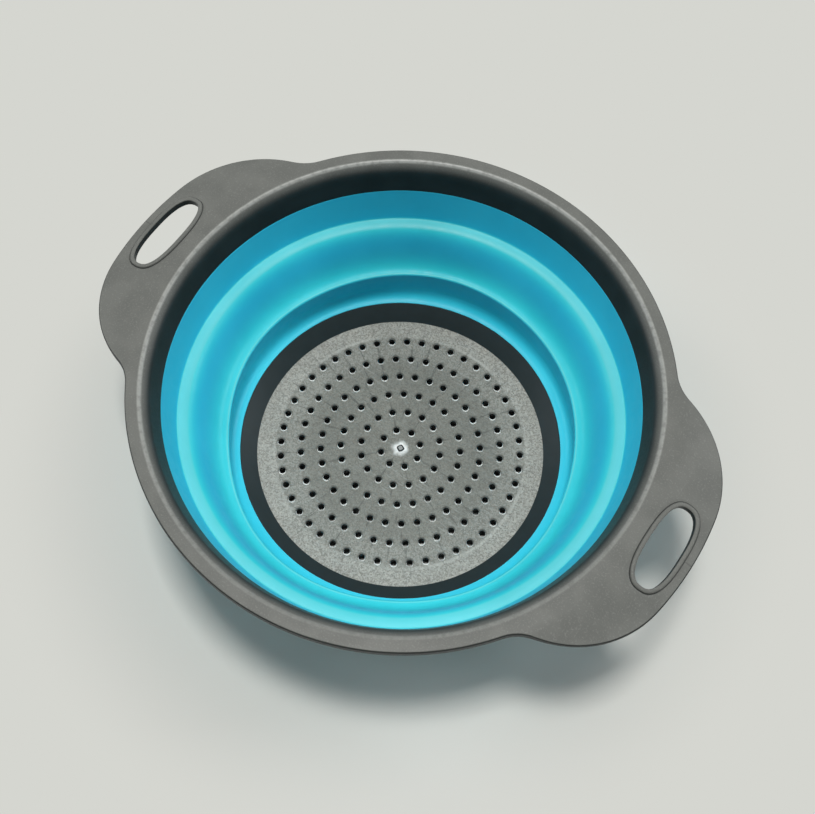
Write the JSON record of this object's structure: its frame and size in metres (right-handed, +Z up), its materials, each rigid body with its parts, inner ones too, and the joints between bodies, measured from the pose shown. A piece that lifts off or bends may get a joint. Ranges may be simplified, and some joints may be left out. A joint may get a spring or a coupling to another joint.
{
  "type": "collapsible colander",
  "caption": "Round colander with a perforated floor, a soft wall that folds flat when the rim is pushed down, and a slotted handle on each side.",
  "frame": {"origin": "centre of the foot's underside, on the surface that the colander stands on", "axes": "+Z up along the axis of the bowl, +X through the middles of both handles"},
  "size_m": [0.2902, 0.24, 0.0865],
  "materials": {
    "rim_plastic": "satin moulded",
    "base_plastic": "fine grain on the floor, smooth on the flare",
    "soft_wall": "soft satin"
  },
  "bodies": {
    "base": {"strainer_base": "base_plastic", "lower_wall": "soft_wall"},
    "rim": {"rim": "rim_plastic", "upper_wall": "soft_wall"},
    "fold_1": {"fold_ring_1": "soft_wall"},
    "fold_2": {"fold_ring_2": "soft_wall"},
    "fold_3": {"fold_ring_3": "soft_wall"},
    "fold_4": {"fold_ring_4": "soft_wall"},
    "fold_5": {"fold_ring_5": "soft_wall"}
  },
  "joints": [
    {"name": "collapse", "type": "slide", "parent": "base", "child": "rim", "axis": [0, 0, -1], "range_m": [0, 0.042]},
    {"name": "fold_1_slide", "type": "slide", "parent": "base", "child": "fold_1", "axis": [0, 0, -1], "range_m": [0, 0.007]},
    {"name": "fold_2_slide", "type": "slide", "parent": "base", "child": "fold_2", "axis": [0, 0, -1], "range_m": [0, 0.014]},
    {"name": "fold_3_slide", "type": "slide", "parent": "base", "child": "fold_3", "axis": [0, 0, -1], "range_m": [0, 0.021]},
    {"name": "fold_4_slide", "type": "slide", "parent": "base", "child": "fold_4", "axis": [0, 0, -1], "range_m": [0, 0.028]},
    {"name": "fold_5_slide", "type": "slide", "parent": "base", "child": "fold_5", "axis": [0, 0, -1], "range_m": [0, 0.035]}
  ],
  "couplings": [
    {"joint": "fold_1_slide", "follows": "collapse", "ratio": 0.16666},
    {"joint": "fold_2_slide", "follows": "collapse", "ratio": 0.33333},
    {"joint": "fold_3_slide", "follows": "collapse", "ratio": 0.5},
    {"joint": "fold_4_slide", "follows": "collapse", "ratio": 0.66666},
    {"joint": "fold_5_slide", "follows": "collapse", "ratio": 0.83333}
  ]
}
